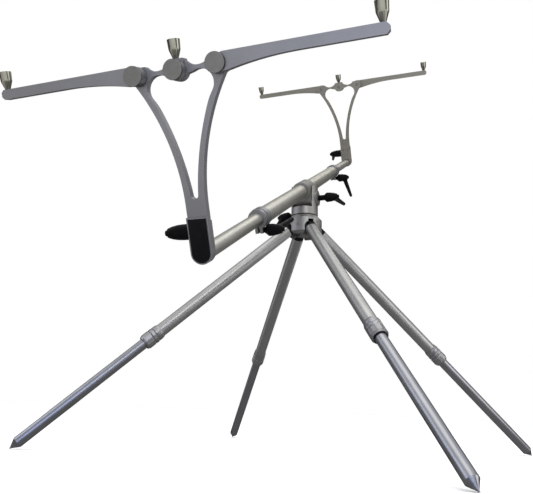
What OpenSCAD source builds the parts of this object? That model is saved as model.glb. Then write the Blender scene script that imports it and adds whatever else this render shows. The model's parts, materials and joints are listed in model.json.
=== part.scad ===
// Rod pod: four folding telescopic legs, a panning and tilting head, a telescopic bar
// and a folding three-rod buzz bar at each end.
// Frame: origin on the ground under the hub's axis, +Z up, bar along +Y and rising to the rear.
// Millimetres.

/* [Legs] */
// Angle between each open leg and the vertical
leg_splay = 48.2; // [46:0.1:50]
// Turn of the four legs about the hub's axis
leg_turn = 35.9; // [20:0.1:60]
// Distance from a leg's hinge pin to the ball at the tip of its spike
leg_len = 688.4; // [670:0.2:720]
// Distance from the hinge pin to the lower end of the upper tube
upper_end = 370; // [360:1:380]
// Outer diameter of the upper leg tube
upper_od = 25; // [24:0.5:26]
// Wall of both leg tubes
leg_wall = 2; // [1.5:0.1:2.2]
// Radial room between the upper and the lower leg tube
leg_room = 0.5; // [0.4:0.05:0.8]
// Radius of the leg hinge pins
leg_pin_r = 3; // [2.5:0.1:3.5]
// Length of the upper tube's overlap with the lower tube at full reach
leg_overlap = 46; // [40:1:60]
// Length of the spike's cone
spike_len = 17; // [14:1:26]
// Radius of the ball at the spike's tip
spike_tip_r = 1.5; // [1:0.1:2]
// Length of the twist nut
nut_len = 27; // [22:1:30]
// Thickness of the hinge tongues
tongue_t = 11; // [10:0.5:13]

/* [Hub and head] */
// Radius of the hub
hub_r = 37.5; // [36.5:0.5:39]
// Distance of the leg hinge pins from the hub's axis
pivot_r = 26; // [25:0.5:27]
// Height of the hub above the leg hinge pins
hub_above = 24.7; // [23:0.1:28]
// Depth of the hub below the leg hinge pins
hub_below = 18; // [17:0.5:22]
// Radius of the panning head
head_r = 29; // [28:0.5:31]
// Height of the tilt pin above the hub's top
tilt_rise = 42.8; // [41:0.2:45]
// Height of the fork's floor above the hub's top
floor_rise = 18; // [17:0.5:20]
// Height of the fork's top above the hub's top
fork_rise = 73; // [70:0.5:76]
// Radius of the hub's pan spigot
spigot_r = 8; // [7:0.5:8.5]
// Radius of the tilt pin
tilt_pin_r = 4; // [3.5:0.1:4.5]

/* [Bar] */
// Tilt of the bar, rear end up
bar_tilt = 28.4; // [10:0.1:35]
// Height of the bar's axis above the tilt pin, square to the bar
bar_rise = 21.2; // [20.5:0.1:24]
// Outer diameter of the main tube
main_od = 30; // [28:0.5:32]
// Wall of the main and inner tubes
bar_wall = 2; // [1.5:0.1:2.5]
// Length of the main tube
main_len = 704; // [690:1:720]
// How far the main tube sits to the rear in the tilt block
main_shift = 12.8; // [0:0.1:20]
// Outer diameter of the inner tubes
inner_od = 22; // [20:0.5:22.5]
// Length of each inner tube
inner_len = 385; // [375:1:390]
// Distance from the tilt block's centre to the front yoke's outer face
front_reach = 580.4; // [570:0.2:590]
// Distance from the tilt block's centre to the rear yoke's outer face
rear_reach = 608.8; // [600:0.2:616]
// Length of each bar clamp along the bar
clamp_len = 27; // [25:1:32]

/* [Buzz bars] */
// Lean of the yokes from square to the bar, tops towards the hub
yoke_lean = 2; // [0:0.5:4]
// Height of the arm hinges above the bar's axis
hinge_h = 231.4; // [228:0.2:236]
// Distance of the arm hinges from the middle
hinge_x = 55; // [53:0.5:58]
// Distance from an arm's hinge to its rod cup
arm_reach = 195; // [180:1:210]
// Thickness of the yoke plate
yoke_t = 10; // [9:0.5:12]
// Thickness of the arms, with their play
arm_t = 12; // [11:0.5:13]
// Radius of the hinge bolts' shanks
bolt_r = 4; // [3.5:0.1:4.5]
// Radius of the hinge bolts' round heads
bolt_head_r = 12.6; // [11:0.2:13]
// Radius of the thread in each rod cup
cup_thread_r = 4.76; // [4.5:0.01:5]
// Depth of the thread in each rod cup
cup_thread_len = 12; // [10:0.5:14]
// Height of a rod cup
cup_h = 23.5; // [22:0.5:26]

/* [Sockets and levers] */
// Width of the sockets that hold the yokes
socket_w = 30; // [29.5:0.5:33]
// Height of the sockets' tops above the bar's axis
socket_top = 49; // [47:0.5:51]
// Width of the yoke tongue inside its socket
tongue_w = 24; // [22:0.5:25]
// Radius of the clamping levers' screws
stud_r = 3; // [2.5:0.1:3.5]
// Radius of a clamping lever's hub
lever_r = 10.5; // [9.5:0.5:11]
// Length of a clamping lever's arm
lever_arm = 53; // [44:1:56]

/* [Fits] */
// Radial clearance of every pin, spigot and sliding tube in its bore
run_fit = 0.05; // [0.02:0.01:0.08]
// Gap between flat faces that move past each other
play = 0.3; // [0.2:0.05:0.4]

/* [Hidden] */

$fn = 64;
SILVER = [0.72, 0.71, 0.68];
SATIN = [0.55, 0.55, 0.58];
DARK = [0.08, 0.08, 0.09];
STEEL = [0.80, 0.80, 0.78];
FRONT = -1;
REAR = 1;
LEFT = -1;
RIGHT = 1;
eps = 0.01;

// Heights on the hub's axis
pivot_z = spike_tip_r + leg_len * cos(leg_splay);
hub_top = pivot_z + hub_above;
hub_low = pivot_z - hub_below;
tilt_z = hub_top + tilt_rise;
fork_floor = hub_top + floor_rise;
fork_top = hub_top + fork_rise;
spigot_h = floor_rise - 5;
pan_lever_z = hub_top + spigot_h / 2;

// Leg sizes, measured down the leg from its hinge pin
upper_r = upper_od / 2;
upper_bore = upper_r - leg_wall;
lower_r = upper_bore - leg_room;
lower_bore = lower_r - leg_wall + 0.5;
tongue_end = 18;
collar_r = upper_r + 2;
collar_top = upper_end - 8;
collar_low = upper_end + 4;
nose_r = lower_r + run_fit + 1.6;
nose_end = collar_low + 19;
nut_top = collar_low + play;
nut_r = upper_r + 2.5;
nut_end = nut_top + nut_len;
nut_taper = 4;
lower_top = upper_end - leg_overlap;
lower_end = leg_len - spike_len;
slot_w = upper_od + 1;
pin_half = pivot_r - leg_pin_r - 2;
eye_r = upper_r - 1.5;
slot_in = pivot_r - upper_r - 0.9;

// Bar sizes, measured along the bar from the tilt block
main_r = main_od / 2;
main_bore = main_r - bar_wall;
inner_r = inner_od / 2;
block_r = main_r + 4.5;
block_w = 2 * block_r;
block_len = 54;
block_foot = tilt_rise - floor_rise - 4.3;
fork_gap = 1.6;
thrust_gap = 0.5;
thrust_r = 2.5 * tilt_pin_r;
gap_w = block_w + 2 * fork_gap;
clamp_r = main_r + 2.5;
clamp_lip = 4;
clamp_step = clamp_lip + 6;
clamp_sleeve = 30;
ear_h = main_r + stud_r + 2.8;
ear_w = 13.5;
ear_len = 15;
ear_y = clamp_lip - ear_len / 2 - 2;
cheek_ring = 3;
lever_neck = 10;

// Feet of the clamping levers: necked beside a round clamp, flat beside a flat socket
necked_foot = [[0, 0], [4.2, 0], [5.9, 3], [8.5, 6], [lever_r - 0.7, 7.2], [lever_r, 9]];
flat_foot = [[0, 0], [lever_r - 0.8, 0], [lever_r, 1], [lever_r, 9]];

// Buzz bar sizes: x across, y outwards from the yoke's outer face, z up from the bar's axis
socket_out = 3;
socket_back = 10.6;
socket_low = 13;
socket_step = socket_top - 6;
badge_rim = 2.2;
badge_t = 1;
tube_seat = 2;
tongue_low = 14;
tongue_half = 14;
tang_t = 6;
lever_h = 30;
arm_top = 11.8;
arm_low = -1.2;
boss_r = 12.3;
arm_curve = 100;
arm_root = 12;
arm_drop = 10.6;
arm_tip = 7;
arm_chamfer = 3.5;
pad_top = 13.4;
cup_stud_r = 3;
cup_stud_len = 8;
bolt_head_t = 4;
yoke_top = hinge_h + 11;
centre_boss_r = 13;
pad_half = 10.3;
pad_front = 5;
pad_cup = 0.5;
lobe_x = hinge_x - 27;
lobe_h = hinge_h - 19;
lobe_r = 17.5;
notch_x = hinge_x / 2;
notch_r = 22;
heart_h = 77;
heart_r = 5.2;

// Centre and radius of the circle through three points
function circle3(a, b, c) =
    let (d = 2 * (a[0] * (b[1] - c[1]) + b[0] * (c[1] - a[1]) + c[0] * (a[1] - b[1])))
    let (x = ((a * a) * (b[1] - c[1]) + (b * b) * (c[1] - a[1]) + (c * c) * (a[1] - b[1])) / d)
    let (y = ((a * a) * (c[0] - b[0]) + (b * b) * (a[0] - c[0]) + (c * c) * (b[0] - a[0])) / d)
    [x, y, norm([a[0] - x, a[1] - y])];

outer_arc = circle3([tongue_half, 65], [26, 145], [hinge_x + 5, hinge_h - 12]);
inner_arc = circle3([5, 75], [18.5, 145], [hinge_x - 13, hinge_h - 26]);

// Lower meeting point of two circles
function meet(p, r, q, s) =
    let (d = norm(q - p))
    let (u = (q - p) / d)
    let (x = (d * d + r * r - s * s) / (2 * d))
    let (y = sqrt(r * r - x * x))
    [p[0] + x * u[0] + y * u[1], p[1] + x * u[1] - y * u[0]];

// Blend of the heart's lobes into its sides: a large circle that touches both
blend_r = 70;
lobe_mid = [lobe_x, lobe_h];
arc_mid = [inner_arc[0], inner_arc[1]];
blend_mid = meet(lobe_mid, lobe_r + blend_r, arc_mid, inner_arc[2] - blend_r);
blend_top = lobe_mid + (blend_mid - lobe_mid) * lobe_r / (lobe_r + blend_r);
blend_foot = arc_mid + (blend_mid - arc_mid) * inner_arc[2] / (inner_arc[2] - blend_r);
heart_corner = meet(lobe_mid, lobe_r, arc_mid, inner_arc[2]);
blend_peak = heart_corner + (heart_corner - blend_mid) * 4 / norm(heart_corner - blend_mid);

// Places a child in the frame of leg k: z down the leg from the hinge pin, pin along y
module in_leg(k)
    rotate([0, 0, leg_turn + 90 * (k - 1)])
        translate([pivot_r, 0, pivot_z])
            rotate([0, 180 - leg_splay, 0])
                children();

// Places a child in the bar's frame: y along the bar, z square to it
module in_bar()
    translate([0, 0, tilt_z])
        rotate([bar_tilt, 0, 0])
            translate([0, 0, bar_rise])
                children();

// Places a child at one end of the main tube, y outwards from the tube's end
module at_tube_end(end)
    in_bar()
        translate([0, main_shift + end * main_len / 2, 0])
            mirror([0, end == FRONT ? 1 : 0, 0])
                children();

// Places a child at one end of the bar, y outwards from the foot of the yoke's outer face
module in_reach(end)
    in_bar()
        translate([0, end == FRONT ? -front_reach : rear_reach, 0])
            mirror([0, end == FRONT ? 1 : 0, 0])
                children();

// Places a child in a buzz bar's frame, y outwards from the yoke's outer face, z up the yoke
module in_buzz(end)
    in_reach(end)
        rotate([yoke_lean, 0, 0])
            children();

// Extrudes an upright outline between two distances
module slab(y0, y1)
    translate([0, y1, 0])
        rotate([90, 0, 0])
            linear_extrude(y1 - y0)
                children();

// A round bar along y between two distances
module rod_y(r, y0, y1)
    translate([0, y1, 0])
        rotate([90, 0, 0])
            cylinder(r = r, h = y1 - y0);

// A round bar along x between two distances
module rod_x(r, x0, x1)
    translate([x0, 0, 0])
        rotate([0, 90, 0])
            cylinder(r = r, h = x1 - x0);

// Clamping lever: screw below, hub above, arm leaving the hub along +x and outwards
module lever_body(screw, foot)
    union() {
        rotate_extrude()
            polygon(concat(foot, [[lever_r - 0.5, 17], [lever_r - 2, 25], [6.5, 31], [4, 32], [4, 35],
                [0, 35]]));
        translate([0, 0, 22])
            rotate([0, 75, 0]) {
                cylinder(r1 = 6.2, r2 = 3.8, h = lever_arm);
                translate([0, 0, lever_arm])
                    sphere(r = 3.8);
            }
        if (screw > 0)
            translate([0, 0, -screw])
                cylinder(r = stud_r, h = screw + 1);
    }

// Outline of the slot for a hinge tongue, radius and height from the hinge pin
module tongue_slot()
    polygon([[slot_in, -hub_below - 2], [hub_r + 20, -hub_below - 2], [hub_r + 20, eye_r + 0.7],
        [slot_in + 1, eye_r + 0.7], [slot_in, 0]]);

// Outline of the wider slot below, for the folded leg's tube
module tube_slot()
    polygon([[slot_in, -hub_below - 2], [hub_r + 20, -hub_below - 2], [hub_r + 20, 0], [pivot_r, 0],
        [slot_in, -upper_r]]);

// The spigot on top carries the head, and its groove takes the pan lever's screw
module hub()
    color(SILVER)
        difference() {
            rotate_extrude()
                polygon([[0, hub_low], [hub_r - 5, hub_low], [hub_r, hub_low + 4.5], [hub_r, hub_top - 9],
                    [head_r, hub_top], [spigot_r, hub_top], [spigot_r, pan_lever_z - stud_r - 0.5],
                    [spigot_r - 1.5, pan_lever_z - stud_r - 0.5],
                    [spigot_r - 1.5, pan_lever_z + stud_r + 0.5],
                    [spigot_r, pan_lever_z + stud_r + 0.5], [spigot_r, hub_top + spigot_h],
                    [0, hub_top + spigot_h]]);
            for (k = [1:4])
                rotate([0, 0, leg_turn + 90 * (k - 1)])
                    translate([0, 0, pivot_z]) {
                        slab(-tongue_t / 2 - play, tongue_t / 2 + play)
                            tongue_slot();
                        slab(-slot_w / 2, slot_w / 2)
                            tube_slot();
                        translate([pivot_r, 0, 0])
                            rod_y(leg_pin_r + run_fit, -pin_half - 0.2, hub_r);
                    }
            for (k = [1:4])
                in_leg(k)
                    cylinder(r = upper_r + 1, h = hub_r);
        }

// The pan lever stands on the left of the head
module at_pan_lever()
    rotate([0, 0, leg_turn + 135])
        translate([head_r + play, 0, pan_lever_z])
            rotate([0, 90, 0])
                children();

module leg_pins()
    color(STEEL)
        intersection() {
            for (k = [1:4])
                rotate([0, 0, leg_turn + 90 * (k - 1)])
                    translate([pivot_r, 0, pivot_z])
                        rod_y(leg_pin_r, -pin_half, hub_r);
            translate([0, 0, hub_low])
                cylinder(r = hub_r - 0.2, h = hub_top - hub_low);
        }

module leg_tongue(k)
    color(DARK)
        in_leg(k)
            difference() {
                union() {
                    rod_y(eye_r, -tongue_t / 2, tongue_t / 2);
                    translate([-eye_r, -tongue_t / 2, 0])
                        cube([2 * eye_r, tongue_t, tongue_end]);
                    translate([0, 0, tongue_end - 4])
                        cylinder(r = upper_r, h = 4);
                    translate([0, 0, tongue_end - 1])
                        cylinder(r = upper_bore - run_fit, h = 26);
                }
                rod_y(leg_pin_r + run_fit, -upper_od, upper_od);
            }

module leg_upper_tube(k)
    color(SILVER)
        in_leg(k)
            difference() {
                translate([0, 0, tongue_end])
                    cylinder(r = upper_r, h = upper_end - tongue_end);
                cylinder(r = upper_bore, h = leg_len);
            }

// Collar bonded over the tube's end, with a split nose that grips the lower tube
module leg_lock_collar(k)
    color(SILVER)
        in_leg(k)
            difference() {
                rotate_extrude()
                    polygon([[lower_r + run_fit, upper_end], [upper_r + run_fit, upper_end],
                        [upper_r + run_fit, collar_top], [upper_r + 0.8, collar_top],
                        [collar_r, collar_top + 5],
                        [collar_r, collar_low], [nose_r, collar_low], [nose_r, nose_end],
                        [lower_r + run_fit, nose_end]]);
                for (a = [0, 90])
                    rotate([0, 0, a])
                        translate([-nut_r, -0.75, collar_low + 5])
                            cube([2 * nut_r, 1.5, nut_len]);
            }

module leg_lock_nut(k)
    color(SILVER)
        in_leg(k)
            difference() {
                union() {
                    translate([0, 0, nut_top])
                        cylinder(r = nut_r, h = nut_len - nut_taper, $fn = 12);
                    translate([0, 0, nut_end - nut_taper])
                        cylinder(r1 = nut_r - 0.5, r2 = nut_r - 2, h = nut_taper);
                }
                translate([0, 0, nut_end - nut_taper])
                    cylinder(r = lower_r + 2, h = nut_taper + 1);
                translate([0, 0, nut_top - 1])
                    cylinder(r = nose_r + run_fit, h = nose_end + play - nut_top + 1);
                cylinder(r = lower_r + play, h = leg_len);
            }

// The top ring guides the lower tube inside the upper one
module leg_lower_tube(k)
    color(STEEL)
        in_leg(k)
            difference() {
                union() {
                    translate([0, 0, lower_top])
                        cylinder(r = lower_r, h = lower_end - lower_top);
                    translate([0, 0, lower_top])
                        cylinder(r = upper_bore - run_fit, h = 12);
                }
                translate([0, 0, -leg_len])
                    cylinder(r = lower_bore, h = 3 * leg_len);
            }

module leg_spike(k)
    color(STEEL)
        in_leg(k) {
            translate([0, 0, lower_end - 16])
                cylinder(r = lower_bore - run_fit, h = 16 + eps);
            rotate_extrude()
                polygon([[0, lower_end], [lower_r, lower_end], [lower_r, lower_end + 3],
                    [spike_tip_r, leg_len - spike_tip_r / 2], [0, leg_len - spike_tip_r / 2]]);
            translate([0, 0, leg_len])
                sphere(r = spike_tip_r);
        }

// The bosses inside the cheeks bear on the tilt block's sides
module head_fork()
    color(SILVER)
        difference() {
            union() {
                difference() {
                    union() {
                        intersection() {
                            translate([0, 0, hub_top + play])
                                cylinder(r = head_r, h = fork_top - hub_top);
                            translate([0, 0, hub_top])
                                rotate([0, 0, 90])
                                    slab(-head_r + 1, head_r - 1) {
                                        translate([0, fork_rise - 22])
                                            circle(r = 22);
                                        translate([-22, floor_rise])
                                            square([44, fork_rise - floor_rise - 22]);
                                        translate([-head_r, 0])
                                            square([2 * head_r, floor_rise + 2]);
                                    }
                        }
                        translate([0, 0, hub_top + 2])
                            cylinder(r = head_r, h = floor_rise - 2);
                        translate([0, 0, tilt_z])
                            rod_x(4 * tilt_pin_r, gap_w / 2, head_r - 1 + cheek_ring);
                    }
                    translate([-gap_w / 2, -head_r - 1, fork_floor])
                        cube([gap_w, 2 * head_r + 2, fork_top]);
                }
                translate([0, 0, tilt_z]) {
                    rod_x(thrust_r, -gap_w / 2 - 1, -block_w / 2 - thrust_gap);
                    rod_x(thrust_r, block_w / 2 + thrust_gap, gap_w / 2 + 1);
                }
            }
            translate([0, 0, tilt_z])
                rod_x(tilt_pin_r + run_fit, -2 * head_r, 2 * head_r);
            translate([0, 0, hub_top - 1])
                cylinder(r = spigot_r + run_fit, h = spigot_h + 1.5);
            at_pan_lever()
                translate([0, 0, -head_r])
                    cylinder(r = stud_r + run_fit, h = 2 * head_r);
            // shadow line above the hub
            translate([0, 0, hub_top])
                difference() {
                    cylinder(r = head_r + 1, h = 2);
                    cylinder(r = head_r - 2, h = 2);
                }
        }

module pan_lever()
    color(DARK)
        at_pan_lever()
            rotate([0, 0, 30])
                lever_body(head_r + play - spigot_r + 1, necked_foot);

module tilt_pin()
    color(STEEL)
        translate([0, 0, tilt_z]) {
            rod_x(tilt_pin_r, -head_r + 1, head_r + cheek_ring + lever_neck + 14);
            rod_x(2 * tilt_pin_r, -head_r - 4, -head_r + 1);
        }

module tilt_lever()
    color(DARK)
        translate([head_r - 1 + cheek_ring + play, 0, tilt_z])
            rotate([0, 90, 0])
                rotate([0, 0, 90])
                    difference() {
                        union() {
                            cylinder(r = 6, h = lever_neck + 3);
                            translate([0, 0, lever_neck])
                                lever_body(0, necked_foot);
                        }
                        translate([0, 0, -1])
                            cylinder(r = tilt_pin_r + run_fit, h = lever_neck + 17);
                    }

module tilt_block()
    color(SILVER)
        in_bar()
            difference() {
                union() {
                    rod_y(block_r, -block_len / 2, block_len / 2);
                    translate([0, 0, -bar_rise])
                        rotate([0, 0, 90])
                            slab(-block_w / 2, block_w / 2) {
                                circle(r = block_foot);
                                translate([-block_foot, 0])
                                    square([2 * block_foot, bar_rise]);
                            }
                }
                rod_y(main_r + run_fit, -block_len, block_len);
                translate([0, 0, -bar_rise])
                    rod_x(tilt_pin_r + run_fit, -block_w, block_w);
            }

module main_tube()
    color(SILVER)
        in_bar()
            difference() {
                rod_y(main_r, main_shift - main_len / 2, main_shift + main_len / 2);
                rod_y(main_bore, main_shift - main_len, main_shift + main_len);
            }

// Split collar round the tube's end, with a sleeve that guides the inner tube
module bar_clamp(end)
    color(SILVER)
        at_tube_end(end)
            difference() {
                union() {
                    difference() {
                        union() {
                            rod_y(clamp_r, clamp_lip - clamp_len, clamp_lip - clamp_step);
                            rod_y(clamp_r - 1, clamp_lip - clamp_len, clamp_lip);
                            translate([-ear_w / 2, ear_y - ear_len / 2, -ear_h - stud_r - 1])
                                cube([ear_w, ear_len, ear_h]);
                        }
                        rod_y(main_r + run_fit, -clamp_len, 0);
                    }
                    rod_y(main_bore - run_fit, -clamp_sleeve, clamp_lip);
                }
                rod_y(inner_r + run_fit, -2 * clamp_sleeve, clamp_sleeve);
                translate([-1.5, -2 * clamp_sleeve, -2 * ear_h])
                    cube([3, 4 * clamp_sleeve, 2 * ear_h]);
                translate([0, ear_y, -ear_h])
                    rod_x(stud_r + run_fit, -ear_w, ear_w);
            }

module clamp_lever(end, turn)
    color(DARK)
        at_tube_end(end)
            translate([ear_w / 2 + play, ear_y, -ear_h])
                rotate([0, 90, 0])
                    rotate([0, 0, turn])
                        lever_body(ear_w + play + 2, necked_foot);

// The ring at the inner end keeps the tube from leaving the clamp
module inner_tube(end)
    color(STEEL)
        in_reach(end)
            difference() {
                union() {
                    rod_y(inner_r, -tube_seat - inner_len, -tube_seat);
                    rod_y(main_bore - run_fit, -tube_seat - inner_len, -tube_seat - inner_len + 10);
                }
                rod_y(inner_r - bar_wall, -2 * inner_len, inner_len);
            }

module socket_outline() {
    translate([0, socket_w / 2 - socket_low])
        circle(r = socket_w / 2);
    translate([-socket_w / 2, socket_w / 2 - socket_low])
        square([socket_w, socket_top - socket_w / 2 + socket_low]);
}

module socket(end)
    color(SATIN)
        difference() {
            in_buzz(end)
                difference() {
                    slab(-socket_back, socket_out)
                        socket_outline();
                    translate([-tongue_w / 2 - play, -yoke_t / 2 - tang_t / 2 - play, tongue_low])
                        cube([tongue_w + 2 * play, tang_t + 2 * play, socket_top]);
                    translate([-socket_w, -2 * socket_back, socket_step])
                        cube([2 * socket_w, 2 * socket_back + play, socket_top]);
                    translate([0, -yoke_t / 2, lever_h])
                        rod_x(stud_r + run_fit, -socket_w, 0);
                    for (x = [-6.5, 6.5])
                        translate([x, 0, socket_step - 5])
                            rod_y(1.6, -socket_back - 1, -socket_back + 1.5);
                }
            in_reach(end)
                rod_y(inner_r + run_fit, -2 * socket_back, -tube_seat);
        }

// Bare plate on the socket's outer face
module badge(end)
    color(DARK)
        in_buzz(end)
            slab(socket_out, socket_out + badge_t) {
                translate([0, socket_w / 2 - socket_low])
                    circle(r = socket_w / 2 - badge_rim);
                translate([badge_rim - socket_w / 2, socket_w / 2 - socket_low])
                    square([socket_w - 2 * badge_rim, socket_top - socket_w / 2 + socket_low - badge_rim]);
            }

module socket_lever(end, turn)
    color(DARK)
        in_buzz(end)
            translate([-socket_w / 2 - play, -yoke_t / 2, lever_h])
                rotate([0, -90, 0])
                    rotate([0, 0, turn])
                        lever_body(socket_w / 2 - tongue_w / 2 - 0.1, flat_foot);

// Heart-shaped window between the yoke's two legs
module heart()
    difference() {
        union() {
            difference() {
                translate([-hinge_x, heart_h])
                    square([2 * hinge_x, lobe_h - heart_h]);
                for (s = [-1, 1])
                    translate([s * inner_arc[0], inner_arc[1]])
                        circle(r = inner_arc[2], $fn = 180);
            }
            translate([0, heart_h])
                circle(r = heart_r);
            for (s = [-1, 1])
                translate([s * lobe_x, lobe_h])
                    circle(r = lobe_r);
            translate([0, lobe_h])
                polygon([[-20, -1], [20, -1], [20, 15.5], [12, 13.6], [-12, 13.6], [-20, 15.5]]);
            difference() {
                polygon([blend_top, blend_peak, blend_foot]);
                translate(blend_mid)
                    circle(r = blend_r - 0.02, $fn = 180);
            }
            difference() {
                polygon([[-blend_foot[0], blend_foot[1]], [-blend_peak[0], blend_peak[1]],
                    [-blend_top[0], blend_top[1]]]);
                translate([-blend_mid[0], blend_mid[1]])
                    circle(r = blend_r - 0.02, $fn = 180);
            }
        }
        translate([0, hinge_h])
            circle(r = centre_boss_r);
    }

module yoke_outline()
    difference() {
        union() {
            difference() {
                translate([-hinge_x - 8, socket_step + 16])
                    square([2 * hinge_x + 16, yoke_top - socket_step - 16]);
                for (s = [-1, 1])
                    translate([s * outer_arc[0], outer_arc[1]])
                        circle(r = outer_arc[2], $fn = 180);
                for (s = [-1, 1])
                    translate([s * notch_x, yoke_top + notch_r - 7.6])
                        circle(r = notch_r);
            }
            for (x = [-hinge_x, hinge_x])
                translate([x, hinge_h])
                    circle(r = boss_r);
            translate([-tongue_half, socket_step + play])
                square([2 * tongue_half, 24]);
        }
        heart();
    }

module yoke(end)
    color(SATIN)
        in_buzz(end)
            difference() {
                union() {
                    slab(-yoke_t, 0)
                        yoke_outline();
                    translate([-tongue_w / 2, -yoke_t / 2 - tang_t / 2, tongue_low + play])
                        cube([tongue_w, tang_t, socket_step - tongue_low + 2]);
                    translate([0, 0, hinge_h])
                        rod_y(boss_r, -yoke_t, arm_t);
                    translate([-pad_half, -yoke_t, hinge_h])
                        cube([2 * pad_half, yoke_t + pad_front, pad_top]);
                }
                for (x = [-hinge_x, 0, hinge_x])
                    translate([x, 0, hinge_h])
                        rod_y(bolt_r + run_fit, -2 * yoke_t, 2 * arm_t);
                translate([0, pad_cup, hinge_h + pad_top - cup_stud_len + 1])
                    cylinder(r = cup_stud_r + run_fit, h = 20);
            }

module hinge_bolts(end)
    color(SATIN)
        in_buzz(end)
            for (x = [-hinge_x, 0, hinge_x])
                translate([x, 0, hinge_h]) {
                    rod_y(bolt_r, -yoke_t, arm_t + 1);
                    rod_y(bolt_head_r, arm_t, arm_t + bolt_head_t);
                }

module arm_outline()
    difference() {
        union() {
            circle(r = boss_r);
            polygon([[4, 1.5 - boss_r], [arm_root, -arm_drop], [arm_curve, arm_low],
                [arm_reach + arm_tip - arm_chamfer, arm_low], [arm_reach + arm_tip, arm_low + arm_chamfer],
                [arm_reach + arm_tip, arm_top - arm_chamfer], [arm_reach + arm_tip - arm_chamfer, arm_top],
                [9, arm_top], [0, 9]]);
        }
        translate([arm_curve, arm_low - 0.02 - arm_radius()])
            circle(r = arm_radius(), $fn = 180);
    }

// Radius of the arm's curved lower edge, which ends under the hinge boss
function arm_radius() =
    let (dx = arm_curve - arm_root, dh = arm_drop + arm_low)
    (dx * dx + dh * dh) / (2 * dh);

module arm(end, side)
    color(SATIN)
        in_buzz(end)
            translate([side * hinge_x, 0, hinge_h])
                mirror([side == LEFT ? 1 : 0, 0, 0])
                    difference() {
                        slab(play, arm_t - play)
                            arm_outline();
                        rod_y(bolt_r + run_fit, -arm_t, 2 * arm_t);
                        translate([arm_reach, arm_t / 2, arm_top - cup_stud_len - 0.5])
                            cylinder(r = cup_stud_r + run_fit, h = 20);
                    }

// Rod cup with a threaded socket for a rest or a bite alarm
module cup_body(stud)
    color(STEEL)
        rotate_extrude()
            polygon([[0, -stud], [cup_stud_r, -stud], [cup_stud_r, 0], [3.4, 0], [7.3, 11], [8.1, cup_h],
                [cup_thread_r, cup_h], [cup_thread_r, cup_h - cup_thread_len], [0, cup_h - cup_thread_len]]);

module arm_cup(end, side)
    in_buzz(end)
        translate([side * (hinge_x + arm_reach), arm_t / 2, hinge_h + arm_top])
            cup_body(cup_stud_len);

module centre_cup(end)
    in_buzz(end)
        translate([0, pad_cup, hinge_h + pad_top])
            cup_body(cup_stud_len - 1.5);

hub();
leg_pins();
for (k = [1:4]) {
    leg_tongue(k);
    leg_upper_tube(k);
    leg_lock_collar(k);
    leg_lock_nut(k);
    leg_lower_tube(k);
    leg_spike(k);
}
head_fork();
pan_lever();
tilt_pin();
tilt_lever();
tilt_block();
main_tube();
bar_clamp(FRONT);  // front_clamp
bar_clamp(REAR);  // rear_clamp
clamp_lever(FRONT, -97);  // front_clamp_lever
clamp_lever(REAR, 0);  // rear_clamp_lever
inner_tube(FRONT);  // front_inner_tube
socket(FRONT);  // front_socket
badge(FRONT);  // front_badge
socket_lever(FRONT, -98);  // front_socket_lever
inner_tube(REAR);  // rear_inner_tube
socket(REAR);  // rear_socket
badge(REAR);  // rear_badge
socket_lever(REAR, 115);  // rear_socket_lever
yoke(FRONT);  // front_yoke
hinge_bolts(FRONT);  // front_hinge_bolts
arm(FRONT, LEFT);  // front_left_arm
arm(FRONT, RIGHT);  // front_right_arm
arm_cup(FRONT, LEFT);  // front_left_cup
arm_cup(FRONT, RIGHT);  // front_right_cup
centre_cup(FRONT);  // front_centre_cup
yoke(REAR);  // rear_yoke
hinge_bolts(REAR);  // rear_hinge_bolts
arm(REAR, LEFT);  // rear_left_arm
arm(REAR, RIGHT);  // rear_right_arm
arm_cup(REAR, LEFT);  // rear_left_cup
arm_cup(REAR, RIGHT);  // rear_right_cup
centre_cup(REAR);  // rear_centre_cup
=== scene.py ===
"""Looks of the rod pod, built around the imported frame. Metres, one shared frame, z up, floor at zero."""
import json
import math

import bmesh
import bpy
from mathutils import Matrix, Vector

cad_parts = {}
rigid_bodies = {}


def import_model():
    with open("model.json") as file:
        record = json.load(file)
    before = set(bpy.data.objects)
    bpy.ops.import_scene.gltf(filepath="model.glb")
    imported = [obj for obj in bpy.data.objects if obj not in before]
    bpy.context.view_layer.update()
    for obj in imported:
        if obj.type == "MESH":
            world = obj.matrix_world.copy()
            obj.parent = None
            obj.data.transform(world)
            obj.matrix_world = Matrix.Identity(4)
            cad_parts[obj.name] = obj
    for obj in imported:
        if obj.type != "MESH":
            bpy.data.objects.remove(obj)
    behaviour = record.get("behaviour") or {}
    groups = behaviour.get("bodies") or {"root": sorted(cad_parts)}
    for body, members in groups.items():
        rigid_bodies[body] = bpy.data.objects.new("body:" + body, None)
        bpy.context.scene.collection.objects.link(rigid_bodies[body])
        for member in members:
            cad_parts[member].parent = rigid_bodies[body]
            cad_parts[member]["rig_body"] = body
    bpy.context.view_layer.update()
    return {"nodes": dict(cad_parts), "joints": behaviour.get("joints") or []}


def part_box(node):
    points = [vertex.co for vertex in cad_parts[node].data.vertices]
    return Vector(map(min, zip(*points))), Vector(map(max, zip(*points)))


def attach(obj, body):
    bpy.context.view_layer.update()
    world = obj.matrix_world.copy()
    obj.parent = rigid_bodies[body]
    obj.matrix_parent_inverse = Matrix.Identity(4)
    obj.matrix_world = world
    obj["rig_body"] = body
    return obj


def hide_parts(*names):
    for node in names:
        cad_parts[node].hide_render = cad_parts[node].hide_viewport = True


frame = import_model()

joints = {joint["name"]: joint for joint in frame["joints"]}
ACROSS = Vector((1, 0, 0))
UP = Vector((0, 0, 1))

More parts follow.
